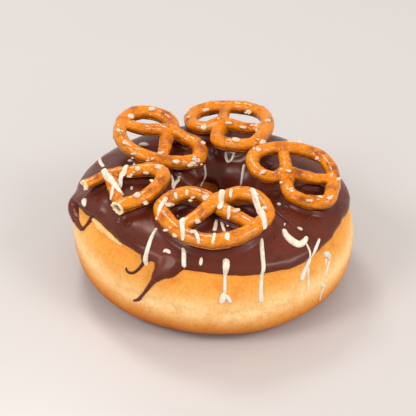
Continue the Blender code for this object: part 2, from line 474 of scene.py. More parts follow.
@dataclass(frozen=True)
class ChocolateGlaze(Finish):
    """Poured milk-chocolate glaze, set: a satin skin that carries soft wide highlights."""

    deep: str = "4e1d10"
    milky: str = "6a2d1d"
    cloud: float = 14.0  # mm, slow changes of shade
    ripple: float = 3.0  # mm, faint ripples of the set skin
    duller: tuple[float, float] = (-0.05, 0.08)  # how uneven the roughness is

    def pattern(self, tree: Tree, shader: bpy.types.Node) -> None:
        """Two browns blended by a slow noise, uneven gloss, and faint ripples."""
        place = add_node(tree, "ShaderNodeTexCoord").outputs["Object"]
        cloud = texture(tree, place, self.cloud, 4.0)
        shade = ramp(tree, cloud, ((0.3, self.deep), (0.7, self.milky)))
        tree.links.new(shade, shader.inputs["Base Color"])
        least, most = (self.roughness + change for change in self.duller)
        gloss = stretched(tree, cloud, 0.3, 0.7, least, most)
        tree.links.new(gloss, shader.inputs["Roughness"])
        add_bump(tree, shader, texture(tree, place, self.ripple, 3.0), 0.12, 0.5)


@dataclass(frozen=True)
class BakedPretzel(Finish):
    """Hard pretzel, dipped in lye and baked: glossy, brown where it rose and orange at its flanks,
    with a pale rough seam low down and cream crumb where it has snapped. Shade under the rope and
    in a snapped end's hollow is painted in."""

    # painted shade: the rope's lower side is painted a darker brown
    under: str = "9a4606"
    flank: str = "e68e0a"
    top: str = "e08608"
    scorched: str = "8a3804"
    seam: str = "eab45c"
    crumb: str = "f2dcae"
    # painted shade inside the hollow of a snapped end
    hollow_shade: str = "7d5c4c"
    patch: float = 5.6  # mm, size of the brown patches
    streak: float = 0.9  # mm, width of the fine streaks across the skin
    streak_tints: Stops = ((0.3, "b98048"), (0.5, "f4e6d2"), (0.72, "ffffff"))

    def pattern(self, tree: Tree, shader: bpy.types.Node) -> None:
        """Colour by how far round the rope a place is, its lower side in painted shade, with
        patches, streaks, and painted shade in a snapped end's hollow.
        """
        place = add_node(tree, "ShaderNodeTexCoord").outputs["Object"]
        crown, crumb, hollow_shade = (
            add_node(tree, "ShaderNodeAttribute", attribute_name=name).outputs["Fac"]
            for name in ("crown", "crumb", "hollow_shade")
        )
        patch = texture(tree, place, self.patch, 5.0, Roughness=0.6)
        streak = texture(tree, place, self.streak, 3.0, Distortion=0.6)
        # round the rope from the underside up: painted shade, the pale seam, then the orange flank
        # and top
        around = (
            (0.0, self.under),
            (0.24, self.under),
            (0.3, self.seam),
            (0.36, self.under),
            (0.72, self.flank),
            (1.0, self.top),
        )
        base = ramp(tree, stretched(tree, crown, -1.0, 1.0), around)
        dark = stretched(tree, patch, 0.47, 0.66)
        risen = stretched(tree, crown, 0.0, 0.8, 0.0, 0.85)
        scorch = arithmetic(tree, "MULTIPLY", dark, risen)
        browned = mixed(tree, scorch, base, linear(self.scorched))
        lined = mixed(tree, 0.55, browned, ramp(tree, streak, self.streak_tints), "MULTIPLY")
        # painted shade in the snapped end's hollow, over the cream crumb
        inner = mixed(tree, hollow_shade, linear(self.crumb), linear(self.hollow_shade))
        snapped = mixed(tree, crumb, lined, inner)
        tree.links.new(snapped, shader.inputs["Base Color"])
        matt = stretched(tree, crown, -0.6, 0.3, self.roughness + 0.3, self.roughness)
        tree.links.new(matt, shader.inputs["Roughness"])
        add_bump(tree, shader, streak, 0.25, 0.2)


@dataclass(frozen=True)
class Speckled(Finish):
    """A pale surface of two close shades, blended by a noise, with or without a grain."""

    grain: float = 1.0  # mm
    detail: float = 2.0
    shades: Stops = ()
    grit: float = 0.0  # how strongly the grain stands out

    def pattern(self, tree: Tree, shader: bpy.types.Node) -> None:
        """One shade to the other by the noise, and bump where there is grit."""
        place = add_node(tree, "ShaderNodeTexCoord").outputs["Object"]
        cloud = texture(tree, place, self.grain, self.detail)
        tree.links.new(ramp(tree, cloud, self.shades), shader.inputs["Base Color"])
        if self.grit:
            add_bump(tree, shader, cloud, self.grit, 0.2)


PALE_CRUMB = ((0.0, "e8b670"), (20.0, "efc486"), (33.0, "f3cf98"))
FRIED_DOUGH = FriedDough("fried_yeast_dough", 0.55, ior=1.4, specular=0.2, subsurface=0.1)
TORN_DOUGH = FriedDough("torn_dough_crumb", 0.7, specular=0.2, subsurface=0.2, bands=PALE_CRUMB)
CHOCOLATE = ChocolateGlaze("milk_chocolate_glaze", 0.28, specular=0.28, subsurface=0.03)
BAKED_ROPE = BakedPretzel("lye_baked_pretzel", 0.17, specular=0.45)
WHITE_ICING = Speckled(
    "dried_sugar_icing",
    0.4,
    subsurface=0.3,
    grain=2.0,
    detail=4.0,
    shades=((0.35, "d4c8b6"), (0.6, "e6dfd2")),
    grit=0.15,
)
SALT = Speckled(
    "coarse_pretzel_salt",
    0.3,
    ior=1.4,
    subsurface=0.2,
    transmission=0.4,
    grain=1.2,
    shades=((0.35, "f6dab4"), (0.6, "fff3e2")),
)
TABLE = Speckled(
    "satin_table", 0.3, grain=1000 / 6, shades=((0.2, "c2bfbf"), (0.8, "c5c2c2"))
)


# ---------------------------------------------------------------- the ring's form


@dataclass(frozen=True)
class RingForm:
    """The dough ring's own surface, which everything on it is measured from."""

    radius: float = float((RING_HIGH - RING_LOW)[:2].mean() / 2)
    oval: float = 1.0
    oval_azimuth: float = math.radians(135)
    hole_radius: float = 8.6
    hole_shift: float = 3.5
    height: float = float(RING_HIGH[2])
    side_height: float = 15.5
    foot_cut: float = 1.0
    top_fullness: float = 2.4
    foot_fullness: float = 2.7
    unevenness: float = 0.42  # mm, how far the risen dough strays from that form
    lump: float = 24.0  # mm

    def section(self, azimuth: Array) -> tuple[Array, Array]:
        """Middle radius and half width of the ring at an azimuth."""
        outer = self.radius + self.oval * np.cos(2 * (azimuth - self.oval_azimuth))
        across = self.hole_shift * np.sin(azimuth)
        hole = self.hole_shift * np.cos(azimuth) + np.sqrt(self.hole_radius**2 - across**2)
        return (outer + hole) / 2, (outer - hole) / 2

    def even_point(self, azimuth: Array, section: Array, grow: Array | float = 0.0) -> Array:
        """A place on the form grown outwards by some millimetres.

        A section is a superellipse: its sine and cosine are raised to 2 over the
        fullness, stretched to the half width and to the height above or below the
        widest level, and cut flat at the foot.
        """
        middle, half_width = self.section(azimuth)
        upper = np.cos(section) >= 0
        power = 2 / np.where(upper, self.top_fullness, self.foot_fullness)
        reach = np.where(upper, self.height - self.side_height, self.side_height + self.foot_cut)
        sine, cosine = np.sin(section), np.cos(section)
        wide = np.sign(sine) * np.abs(sine) ** power
        high = np.sign(cosine) * np.abs(cosine) ** power
        radius = middle + (half_width + grow) * wide
        z = np.maximum(self.side_height + (reach + grow) * high, 0.0)
        return np.stack([radius * np.cos(azimuth), radius * np.sin(azimuth), z], axis=-1)

    def point(self, azimuth: Array, section: Array, grow: Array | float = 0.0) -> Array:
        """The same, on the real dough with its slow lumps."""
        lumps = self.unevenness * layered_noise(
            self.even_point(azimuth, section), self.lump, 2, seed=3
        )
        return self.even_point(azimuth, section, grow + lumps)

    def arc(self, section: Array) -> Array:
        """Millimetres along the section from the crest to a section angle."""
        angles = np.radians(np.arange(-180, 181, 1.0))
        outline = self.even_point(np.full_like(angles, 1.5 * math.pi), angles)
        walked = np.concatenate(
            [[0.0], np.linalg.norm(np.diff(outline, axis=0), axis=1).cumsum()]
        )
        return np.interp(section, angles, walked - walked[180])

    def arc_angle(self, arc: Array) -> Array:
        """Section angle that lies some millimetres along the section from the crest."""
        angles = np.radians(np.arange(-180, 181, 1.0))
        return np.interp(arc, self.arc(angles), angles)

    def over(self, plan: Array) -> tuple[Array, Array, Array]:
        """Azimuth and section angle of the upper surface at plan places.

        Returns:
            Azimuths, section angles, and whether each place is over the dough.
        """
        azimuth = np.arctan2(plan[..., 1], plan[..., 0])
        middle, half_width = self.section(azimuth)
        across = (np.hypot(plan[..., 0], plan[..., 1]) - middle) / half_width
        inside = np.abs(across) < 0.995
        share = np.clip(np.abs(across), 0, 0.995) ** (self.top_fullness / 2)
        return azimuth, np.sign(across) * np.arcsin(share), inside


RING = RingForm()


# ---------------------------------------------------------------- pretzels


@dataclass(frozen=True)
class Strand:
    """A length of rope: (x, y, lift) knots in the pretzel's own millimetres."""

    knots: Knots
    radii: tuple[float, ...]
    rounded: bool = True  # ends that melt into the rope, or else snapped flat

    def sampled(self, spacing: float) -> tuple[Array, Array]:
        """Middle line and radius at even steps."""
        line = smooth_path(np.array(self.knots, float), spacing)
        share = np.linspace(0, 1, len(line))
        radius = np.interp(share, np.linspace(0, 1, len(self.radii)), self.radii)
        if self.rounded:
            walked = share * (len(line) - 1) * spacing
            near_end = np.clip(np.minimum(walked, walked[-1] - walked) / 2.0, 0.02, 1)
            radius = radius * np.sqrt(1 - (1 - near_end) ** 2)
        return line, radius


@dataclass
class Pretzel:
    """A whole pretzel: one rope, its ends crossed once and pressed onto the rim."""

    name: str
    seat: tuple[float, float]
    heading: float
    lean: tuple[float, float]  # degrees, towards an azimuth
    size: float
    lobes: tuple[float, float] = (1.0, 1.0)
    rope_radius: float = 2.65
    bar_radius: float = 2.35
    seed: int = 0
    crossing: tuple[float, float] = (0.0, 5.0)
    lap: float = 2.0  # how far one strand rides over the other where they cross
    plain_lap: float = 1.0  # the same on the CAD solid
    lobe: Knots = ((3.2, 8.9), (7.9, 11.0), (13.2, 9.3), (16.8, 4.6))
    lower_rim: Knots = ((16.4, -1.4), (12.8, -6.9), (7.0, -11.4))
    rim_bottom: tuple[float, float] = (0.0, -13.3)
    bar_end: tuple[float, float] = (13.1, -7.3)
    voxel: float = 0.3
    samples: Array = field(default_factory=lambda: np.zeros((0, 3)), init=False)
    radii: Array = field(default_factory=lambda: np.zeros(0), init=False)

    def side(self, sign: int, lobe_size: float) -> list[tuple[float, float, float]]:
        """Knots of one half of the rim, from beside the crossing to the rim's bottom."""
        base = self.crossing[1]
        lobe = [(x * lobe_size, base + (y - base) * lobe_size) for x, y in self.lobe]
        return [(sign * x, y, 0.0) for x, y in [*lobe, *self.lower_rim]]

    def strands(self) -> list[Strand]:
        """The one rope, from its left end up over the crossing, round and back."""
        left, right = self.side(-1, self.lobes[0]), self.side(1, self.lobes[1])
        end_x, end_y = self.bar_end
        x, y = self.crossing
        up = [(-end_x, end_y, 0.1), (-end_x * 0.52, -1.3, 0.0), (x, y - 0.3, self.lap)]
        down = [(x, y - 0.3, -0.3), (end_x * 0.52, -1.3, 0.0), (end_x, end_y, 0.1)]
        knots = [*up, *right, (*self.rim_bottom, 0.0), *reversed(left), *down]
        bar, rope = self.bar_radius, self.rope_radius
        radii = (bar * 0.85, bar, bar * 1.08, rope, rope * 1.04, rope, rope * 0.97, rope)
        return [Strand(tuple(knots), (*radii, *reversed(radii)))]

    def turned(self) -> Array:
        """The pretzel's own axes as they lie on the glaze: turned, then tilted."""
        tilt, towards = (math.radians(part) for part in self.lean)
        hinge = Vector((-math.sin(towards), math.cos(towards), 0.0))
        turn = Matrix.Rotation(math.radians(self.heading), 3, "Z")
        return np.array(Matrix.Rotation(tilt, 3, hinge) @ turn)

    def settle(self) -> None:
        """Work out the rope's middle line as it lies, its top at the CAD solid's top."""
        lines, radii = zip(*(strand.sampled(0.5) for strand in self.strands()))
        self.radii = np.concatenate(radii) * self.size
        own = np.vstack(lines) * self.size
        world = own @ self.turned().T + np.array([*self.seat, 0.0])
        over = np.clip(own[:, 2] - self.plain_lap * self.size, 0, None)
        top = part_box(self.name)[1].z / MM
        rest = top - (world[:, 2] - over + self.radii).max()
        self.samples = world + np.array([0.0, 0.0, rest])

    def tube(self, line: Array, radius: Array) -> Array:
        """Outlines of the rope: circles squared to the middle line."""
        along = np.gradient(line, axis=0)
        across = unit(np.cross(along, self.turned()[:, 2]))
        over = unit(np.cross(across, along))
        turn = np.linspace(0, 2 * math.pi, 18, endpoint=False)[None, :, None]
        ring = np.cos(turn) * across[:, None] + 0.96 * np.sin(turn) * over[:, None]
        return line[:, None] + radius[:, None, None] * ring

    def raw_mesh(self) -> bpy.types.Mesh:
        """The strands as overlapping tubes."""
        points, faces, first, start = [], [], 0, 0
        for strand in self.strands():
            count = len(strand.sampled(0.5)[0])
            part = slice(start, start + count)
            line = self.samples[part]
            rings = self.tube(line, self.radii[part])
            faces += tube_faces(count, rings.shape[1], first)
            points += [rings.reshape(-1, 3), line[[0, -1]]]
            first += count * rings.shape[1] + 2
            start += count
        return mesh_from(f"{self.name}_rope", np.vstack(points), faces)

    def fused(self) -> tuple[Array, Array, list[Array]]:
        """The tubes melted into one skin.

        Returns:
            Places in millimetres, outward directions, and the faces.
        """
        rope = bpy.data.objects.new(self.name, self.raw_mesh())
        bpy.context.scene.collection.objects.link(rope)
        remesh = rope.modifiers.new("fuse", "REMESH")
        remesh.mode = "VOXEL"
        remesh.voxel_size = self.voxel * MM
        soften = rope.modifiers.new("soften", "SMOOTH")
        soften.factor = 0.5
        soften.iterations = 7
        graph = bpy.context.evaluated_depsgraph_get()
        mesh = bpy.data.meshes.new_from_object(rope.evaluated_get(graph))
        count = len(mesh.vertices)
        places = np.empty(count * 3, np.float32)
        normals = np.empty(count * 3, np.float32)
        mesh.vertices.foreach_get("co", places)
        mesh.vertex_normals.foreach_get("vector", normals)
        corners = np.empty(len(mesh.loops), np.int32)
        mesh.loops.foreach_get("vertex_index", corners)
        sizes = np.empty(len(mesh.polygons), np.int32)
        mesh.polygons.foreach_get("loop_total", sizes)
        starts = np.concatenate([[0], sizes.cumsum()[:-1]])
        faces = [
            corners[starts[sizes == n][:, None] + np.arange(n)] for n in np.unique(sizes)
        ]
        bpy.data.objects.remove(rope)
        points = places.reshape(-1, 3).astype(float) / MM - RING_CENTRE
        return points, normals.reshape(-1, 3).astype(float), faces

    def nearest(self, points: Array) -> Array:
        """Which sample of the middle line is nearest to each point."""
        found = []
        for block in np.array_split(points, max(len(points) // 6000, 1)):
            gap = np.linalg.norm(block[:, None] - self.samples[None], axis=2)
            found.append(gap.argmin(axis=1))
        return np.concatenate(found)

    def snapped(self, points: Array) -> tuple[Array, Array, Array]:
        """Crumb, painted shade in the hollow, and inward dent at snapped ends: none on a whole
        one.
        """
        return np.zeros(len(points)), np.zeros(len(points)), np.zeros((len(points), 3))

    def build(self) -> bpy.types.Object:
        """The fused rope with its lumps, wrinkles and blisters."""
        points, outward, faces = self.fused()
        spoke = unit(points - self.samples[self.nearest(points)])
        crown = spoke @ self.turned()[:, 2]
        shift = np.array([37.0, 11.0, 5.0]) * self.seed
        lumps = 0.16 * layered_noise(points + shift, 5.5, 2, seed=21)
        blisters = 0.16 * smooth_step(noise(points + shift, 2.4, 25), 0.25, 0.75) * (crown > -0.3)
        wrinkles = 0.06 * layered_noise(points + shift, 1.3, 2, seed=27)
        seam = -0.14 * np.exp(-(((crown + 0.35) / 0.12) ** 2))
        crumb, hollow_shade, dent = self.snapped(points)
        torn = 0.45 * crumb * layered_noise(points, 1.1, 2, seed=33)
        points = points + dent + outward * (lumps + blisters + wrinkles + seam + torn)[:, None]
        mesh = mesh_from(self.name, points, faces)
        add_attribute(mesh, "crown", crown + 0.18 * layered_noise(points, 3.0, 2, seed=29))
        add_attribute(mesh, "crumb", crumb)
        add_attribute(mesh, "hollow_shade", hollow_shade)
        piece = add_piece(f"{self.name}_baked", mesh, BAKED_ROPE)
        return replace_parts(piece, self.name)


@dataclass
class BrokenPretzel(Pretzel):
    """What is left of one that snapped at its crossing and below one bar."""

    rope: Knots = (
        (-14.0, 3.0, 0.0),
        (-9.6, 5.8, 0.1),
        (-5.0, 7.0, 0.9),
        (3.4, 8.0, 0.2),
        (11.2, 7.6, 0.0),
        (13.8, 1.6, 0.0),
        (8.9, -7.2, 0.0),
        (3.6, -10.4, 0.0),
        (0.4, -11.3, 0.0),
        (-1.6, -13.3, 0.0),
    )
    bar: Knots = ((-5.0, 7.0, 0.2), (-3.4, 0.6, 0.0), (-1.2, -9.4, 0.0))

    def strands(self) -> list[Strand]:
        """The bent rope with two snapped ends, and the bar across its lobe."""
        rope = self.rope_radius
        return [
            Strand(self.rope, (rope * 0.8, rope * 0.78, rope, rope, rope, rope), rounded=False),
            Strand(self.bar, (self.bar_radius, self.bar_radius * 0.9)),
        ]

    def snapped(self, points: Array) -> tuple[Array, Array, Array]:
        """Crumb shows at the last millimetre of both snapped ends, and the second one is hollow:
        its middle is sunk along a parabola and carries painted shade.
        """
        count = len(self.strands()[0].sampled(0.5)[0])
        crumb, hollow_shade = np.zeros(len(points)), np.zeros(len(points))
        dent = np.zeros((len(points), 3))
        for end, inner, hollow in ((0, 3, 0.35), (count - 1, count - 4, 1.7)):
            out = unit(self.samples[end] - self.samples[inner])
            offset = points - self.samples[end]
            beyond = offset @ out
            aside = np.linalg.norm(offset - beyond[:, None] * out, axis=1) / self.radii[end]
            near = np.linalg.norm(offset, axis=1) < 4.0
            crumb = np.maximum(crumb, smooth_step(beyond, -0.9, -0.15) * near)
            bowl = np.clip(1 - (aside / 0.62) ** 2, 0, 1) * near * (beyond > -0.6)
            # painted shade over the sunk middle of the hollow end
            hollow_shade = np.maximum(hollow_shade, smooth_step(bowl, 0.1, 0.7) * (hollow > 1))
            dent -= hollow * bowl[:, None] * out
        return crumb, hollow_shade, dent


PRETZELS: tuple[Pretzel, ...] = (
    Pretzel("pretzel_front", (0.9, -26.3), 0, (6, -110), 0.97, lobes=(1.07, 0.93), seed=1),
    Pretzel("pretzel_right", (27.5, -2.6), 136, (8, -68), 0.88, lobes=(1.13, 1.02), seed=2),
    Pretzel("pretzel_back_right", (6.6, 29.8), 126, (6, 140), 0.94, lobes=(1.13, 1.0), seed=3),
    Pretzel("pretzel_back_left", (-19.2, 18.8), -54, (9, -8), 0.96, lobes=(1.0, 1.04), seed=4),
    BrokenPretzel("pretzel_broken", (-29.4, -8.8), 0, (8, 190), 0.95, seed=5),
)


@dataclass(frozen=True)
class Ropes:
    """The middle lines of all the pretzels together, to find what lies under a place."""

    samples: Array
    radii: Array

    @classmethod
    def of(cls, pretzels: tuple[Pretzel, ...]) -> "Ropes":
        """Gather every second sample of the settled pretzels."""
        return cls(
            np.vstack([p.samples[::2] for p in pretzels]),
            np.concatenate([p.radii[::2] for p in pretzels]),
        )

    def skin(self, plan: Array, side: int) -> tuple[Array, Array]:
        """Height of the ropes' top (side 1) or underside (side -1) at plan places.

        A rope's skin is its middle line's height plus or minus the chord of its circle.

        Returns:
            The heights, and the distance in plan to the nearest middle line. Where no
            rope is near, the height is far below for the top and far above for the
            underside.
        """
        heights, gaps = [], []
        for block in np.array_split(plan, max(len(plan) // 4000, 1)):
            gap = np.linalg.norm(block[:, None] - self.samples[None, :, :2], axis=2)
            chord = np.sqrt(np.clip(self.radii**2 - gap**2, 0, None))
            skin = self.samples[:, 2] + side * chord
            skin = np.where(gap < self.radii + 2.5, skin, -side * 1e3)
            heights.append(skin.max(axis=1) if side > 0 else skin.min(axis=1))
            gaps.append((gap - self.radii).min(axis=1))
        return np.concatenate(heights), np.concatenate(gaps)


# ---------------------------------------------------------------- dough


@dataclass(frozen=True)
class Dough:
    """The fried ring with its fine crease round the pale band."""

    azimuths: int = 560
    sections: int = 148
    crease_height: float = 14.4
    crease_depth: float = 0.26
    crease_width: float = 0.95

    def build(self) -> bpy.types.Object:
        """A grid of azimuth and arc length round the section, dented along the crease."""
        around = np.linspace(0, 2 * math.pi, self.azimuths, endpoint=False)
        reach = RING.arc(np.radians([-180.0, 180.0]))
        arcs = np.linspace(reach[0], reach[1], self.sections, endpoint=False)
        azimuth, section = np.meshgrid(around, RING.arc_angle(arcs), indexing="ij")
        points = RING.point(azimuth, section)
        flat = np.column_stack([np.cos(around), np.sin(around), np.zeros_like(around)]) * 47
        wander = 1.3 * layered_noise(flat, 22.0, 3, seed=41)
        strength = smooth_step(noise(flat, 9.0, 44), -0.35, 0.6)
        off = (points[..., 2] - self.crease_height - wander[:, None]) / self.crease_width
        crease = self.crease_depth * strength[:, None] * np.exp(-(off**2))
        lip = 0.5 * self.crease_depth * strength[:, None] * np.exp(-((off - 2.2) ** 2))
        outer = np.sin(section) > 0.2
        skin = 0.1 * layered_noise(points, 3.2, 3, seed=47)
        points = RING.point(azimuth, section, skin + np.where(outer, lip - crease, 0.0))
        mesh = mesh_from("dough_ring", points.reshape(-1, 3), ring_faces(*azimuth.shape))
        piece = add_piece("fried_dough", mesh, FRIED_DOUGH)
        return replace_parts(piece, "dough_ring")


# ---------------------------------------------------------------- chocolate glaze


@dataclass(frozen=True)
class Glaze:
    """The poured coat. Where it lies is a field in millimetres: positive inside."""

    ropes: Ropes
    thickness: float = 1.4
    edge_round: float = 1.5  # mm from the edge to the full thickness
    buried: float = 0.7
    clear: float = 0.25  # mm that it stays above the table
    azimuths: int = 640
    top_rows: int = 126
    under_rows: int = 22
    outer_edge: Knots = (
        (0, 60), (14, 63), (30, 60), (50, 64), (72, 66), (95, 63), (118, 68), (140, 64),
        (160, 67), (174, 66), (179, 66), (183, 62), (186, 57), (190, 54), (194.5, 51.5),
        (199, 46.5), (203, 43.5), (208, 42.5), (214, 42.5), (221, 43.5), (229, 44),
        (235, 45), (239, 47), (243, 49), (250, 49.5), (257, 49), (262, 49), (268, 50),
        (274, 51.5),
        (285, 54.7), (296, 55.4), (303, 57.5), (309, 57.5), (317, 54), (324, 53.4),
        (331, 51), (339, 50.3), (345, 52.5), (352, 57.5),
    )  # fmt: skip
    inner_edge: Knots = (
        (0, -66), (30, -72), (62, -76), (74, -71), (83, -60), (92, -56), (106, -53),
        (122, -52), (150, -58), (200, -68), (250, -70), (300, -66),
    )  # fmt: skip
    # Runs over the edge: (azimuth, section angle, half width in millimetres).
    runs: tuple[Knots, ...] = (
        ((179.5, 61, 2.6), (182.5, 68.0, 2.0), (186.5, 69.0, 1.6), (190.5, 69.0, 1.1)),
        ((239.6, 43, 1.7), (239.4, 50, 0.7)),
        ((250.5, 45, 4.6), (249.4, 51, 2.9), (248.1, 56, 1.9), (246.9, 61, 1.3), (245.8, 66, 0.9)),
    )  # fmt: skip
    # Places where it stands thicker: (azimuth, section angle, reach, extra height).
    swells: Knots = (
        (181.5, 64, 4.2, 1.4), (186, 52, 2.6, 0.7), (191, 45, 3.0, 0.9), (197, 33, 3.2, 0.7),
        (203, 38, 2.0, 0.5), (183, 38, 3.0, 0.6), (221, 30, 4.0, 0.4),
    )  # fmt: skip

    def coverage(self, azimuth: Array, section: Array) -> Array:
        """Distance inside the glaze's outline, negative outside.

        To the two edges it is measured along the section and shortened by the edge's
        slope. Runs are capsules round their own lines, and all are blended smoothly.
        """
        arc = RING.arc(section)
        fine = np.linspace(0, 2 * math.pi, 1440, endpoint=False)
        inside = np.full(azimuth.shape, 1e3)
        for knots, sign in ((self.outer_edge, 1.0), (self.inner_edge, -1.0)):
            edge = RING.arc(np.radians(round_curve(knots, fine)))
            slope = np.gradient(edge, fine) / RING.radius
            steep = np.interp(azimuth, fine, np.hypot(1, slope), period=2 * math.pi)
            here = np.interp(azimuth, fine, edge, period=2 * math.pi)
            inside = np.minimum(inside, sign * (here - arc) / steep)
        places = RING.even_point(azimuth, section)
        inside = inside + 0.25 * noise(places, 3.5, 52)
        for run in self.runs:
            line = smooth_path(np.array(run, float), 1.0)
            middle = RING.even_point(*np.radians(line[:, :2]).T)
            for a, b, wide_a, wide_b in zip(middle, middle[1:], line[:, 2], line[1:, 2]):
                step = b - a
                t = np.clip((places - a) @ step / (step @ step), 0, 1)
                gap = np.linalg.norm(places - a - t[..., None] * step, axis=-1)
                inside = smooth_most(inside, wide_a + (wide_b - wide_a) * t - gap, 0.9)
        return inside

    def grow(self, azimuth: Array, section: Array) -> Array:
        """How far the glaze's top stands off the dough, and below it outside the edge.

        From the edge inwards the thickness follows a quarter circle, with a bead where the glaze
        gathered, slow waves, local swells and folds inside the hole.
        """
        inside = self.coverage(azimuth, section)
        places = RING.even_point(azimuth, section)
        share = np.clip(inside / self.edge_round, 0, 1)
        profile = np.sqrt(1 - (1 - share) ** 2)
        bead = 0.3 * np.exp(-(((inside - 2.2) / 1.4) ** 2))
        waves = 0.3 * layered_noise(places, 10.0, 2, seed=55)
        extra = bead + waves
        for at, angle, reach, height in self.swells:
            centre = RING.even_point(np.radians(at), np.radians(angle))
            away = np.linalg.norm(places - centre, axis=-1) / reach
            extra = extra + height * np.exp(-(away**2))
        angle = np.degrees(section)
        wall = smooth_step(-angle, 6, 24)
        slanted = places * np.array([1.0, 1.0, 0.45]) + places[..., 2:] * [0.35, 0.0, 0.0]
        extra = extra + wall * (0.35 + 1.15 * np.abs(noise(slanted, 6.5, 57)))
        height = profile * (self.thickness + extra)
        outside = np.clip(-inside, 0, self.buried)
        return np.where(inside > 0, height, -outside)

    def seated(self, points: Array, grown: Array) -> Array:
        """Extra height that brings the glaze up to the ropes lying close above it."""
        under, gap = self.ropes.skin(points[:, :2], -1)
        space = under - points[:, 2]
        close = np.clip(space + 0.35, 0, 1.3) * (1 - smooth_step(space, 1.6, 3.2))
        near = np.exp(-((np.clip(gap + 1.2, 0, None) / 1.5) ** 2))
        return np.where(grown > 0.5, close * near, 0.0)

    def build(self) -> bpy.types.Object:
        """A closed ring of close rows over the top and wide ones buried in the dough."""
        around = np.linspace(0, 2 * math.pi, self.azimuths, endpoint=False)
        top_start, top_end = RING.arc(np.radians([-84.0, 92.0]))
        foot, foot_end = RING.arc(np.radians([180.0, 180.0]))
        whole = 2 * foot
        top = np.linspace(top_start, top_end, self.top_rows, endpoint=False)
        under = np.linspace(top_end, top_start + whole, self.under_rows, endpoint=False)
        under = np.where(under > foot_end, under - whole, under)
        angles = RING.arc_angle(np.concatenate([top, under]))
        azimuth, section = np.meshgrid(around, angles, indexing="ij")
        grown = self.grow(azimuth, section)
        points = RING.point(azimuth, section, grown).reshape(-1, 3)
        points[:, 2] += self.seated(points, grown.ravel())
        points[:, 2] = np.maximum(points[:, 2], self.clear)
        mesh = mesh_from("chocolate_icing", points, ring_faces(*azimuth.shape))
        piece = add_piece("chocolate_glaze", mesh, CHOCOLATE)
        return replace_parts(piece, "chocolate_icing")


# ---------------------------------------------------------------- trails of icing


class Canvas(Enum):
    """What a trail's knots are measured on."""

    RING = "azimuth and section angle in degrees, on the dough or its glaze"
    TOP = "plan x and y in millimetres, on whatever lies uppermost"


@dataclass(frozen=True)
class Trail:
    """One stroke of icing: where it runs, and its width in millimetres along the way."""

    canvas: Canvas
    knots: Knots
    widths: tuple[float, ...]
    height: float = 0.5  # share of the width that it stands proud
    bare: bool = False  # starts under the glaze's edge and lies on the dough itself


